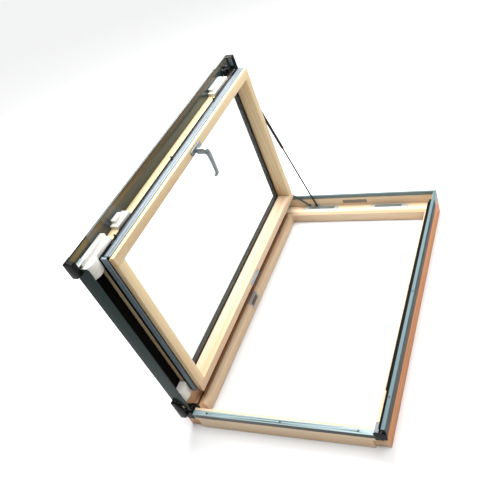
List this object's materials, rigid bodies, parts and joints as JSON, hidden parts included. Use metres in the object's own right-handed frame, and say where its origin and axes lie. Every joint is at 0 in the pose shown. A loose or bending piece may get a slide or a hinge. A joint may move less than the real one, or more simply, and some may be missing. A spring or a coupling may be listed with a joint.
{
  "type": "roof_window",
  "caption": "Side-hung roof window standing open: pine frame and sash, double glazing, dark metal covers, lever handle, gas strut and limiter arm, shown without the wall or roof.",
  "frame": {"origin": "Plan centre of the frame outline, on its underside", "axes": "+X from the hinge side to the lock side, +Y up the roof from the bottom rail to the head, +Z outward from the room"},
  "size_m": [0.7867, 1.1975, 0.895],
  "materials": {
    "pine": "clear lacquer, satin",
    "cladding": "dark grey lacquer, satin",
    "lower_cladding": "light grey lacquer, satin",
    "profile": "anodised",
    "gasket": "matt",
    "seal": "matt",
    "black_plastic": "moulded, fine grain",
    "white_plastic": "moulded",
    "beige_plastic": "moulded",
    "grey_plastic": "ribbed",
    "glass": "clear float glass",
    "spacer": "mill finish",
    "steel": "satin",
    "dark_steel": "black lacquer",
    "silver_metal": "satin"
  },
  "bodies": {
    "frame": {"hinge_stile": "pine", "lock_stile": "pine", "head_rail": "pine", "bottom_rail": "pine", "hinge_cladding": "cladding", "lock_cladding": "cladding", "head_cladding": "cladding", "bottom_cladding": "lower_cladding", "lock_gasket": "gasket", "ledge_seal": "seal", "cladding_screws": "steel", "left_corner_block": "black_plastic", "right_corner_block": "black_plastic", "corner_insert": "grey_plastic", "lock_keepers": "beige_plastic", "strike_plate": "silver_metal", "left_slot_plate": "silver_metal", "right_slot_plate": "silver_metal", "data_plate": "silver_metal", "frame_hinge_leaves": "steel", "hinge_pins": "steel", "strut_foot_bracket": "dark_steel", "arm_foot_bracket": "steel"},
    "sash": {"sash_hinge_stile": "pine", "sash_lock_stile": "pine", "sash_near_rail": "pine", "sash_far_rail": "pine", "sash_near_profile": "profile", "sash_side_profiles": "profile", "sash_near_gasket": "gasket", "sash_side_gaskets": "gasket", "inner_pane": "glass", "outer_pane": "glass", "pane_spacer": "spacer", "glazing_gasket": "gasket", "sash_hinge_leaves": "steel", "hinge_face_plate": "profile", "near_cover": "cladding", "far_cover": "cladding", "hinge_cover": "cladding", "lock_cover": "cladding", "near_hinge_cap": "black_plastic", "near_lock_cap": "black_plastic", "far_caps": "black_plastic", "foam_strip": "gasket", "lock_corner_block": "white_plastic", "hinge_corner_block": "white_plastic", "cover_clips": "white_plastic", "cap_bracket": "silver_metal", "strut_stud": "steel", "handle_base": "silver_metal"},
    "handle": {"handle_lever": "silver_metal"},
    "lock": {"lock_rail": "dark_steel"},
    "strut_body": {"strut_tube": "dark_steel"},
    "strut_piston": {"strut_rod": "dark_steel"},
    "arm": {"limiter_arm": "steel"}
  },
  "joints": [
    {"name": "sash_hinge", "type": "hinge", "parent": "frame", "child": "sash", "pos_m": [-0.3671, 0, 0.1154], "axis": [0, 1, 0], "range_deg": [0, 88]},
    {"name": "handle_turn", "type": "hinge", "parent": "sash", "child": "handle", "pos_m": [-0.24712, 0.041, 0.80323], "axis": [-0.9994, 0, 0.0349], "range_deg": [0, 90]},
    {"name": "lock_slide", "type": "slide", "parent": "sash", "child": "lock", "axis": [0, 1, 0], "range_m": [0, 0.02]},
    {"name": "strut_top", "type": "hinge", "parent": "sash", "child": "strut_body", "pos_m": [-0.31926, 0.5756, 0.71469], "axis": [0, 1, 0], "range_deg": [0, 8.68]},
    {"name": "strut_stroke", "type": "slide", "parent": "strut_body", "child": "strut_piston", "axis": [-0.1715, 0, 0.9852], "range_m": [0, 0.2203]},
    {"name": "arm_pivot", "type": "hinge", "parent": "frame", "child": "arm", "pos_m": [-0.247, 0.5807, 0.063], "axis": [0, 1, 0], "range_deg": [-30, 0]}
  ],
  "couplings": [
    {"joint": "lock_slide", "follows": "handle_turn", "m_per_rad": 0.012732},
    {"joint": "strut_top", "follows": "sash_hinge", "ratio": 0.09867},
    {"joint": "strut_stroke", "follows": "sash_hinge", "m_per_rad": 0.14343},
    {"joint": "arm_pivot", "follows": "sash_hinge", "ratio": -0.34091}
  ]
}
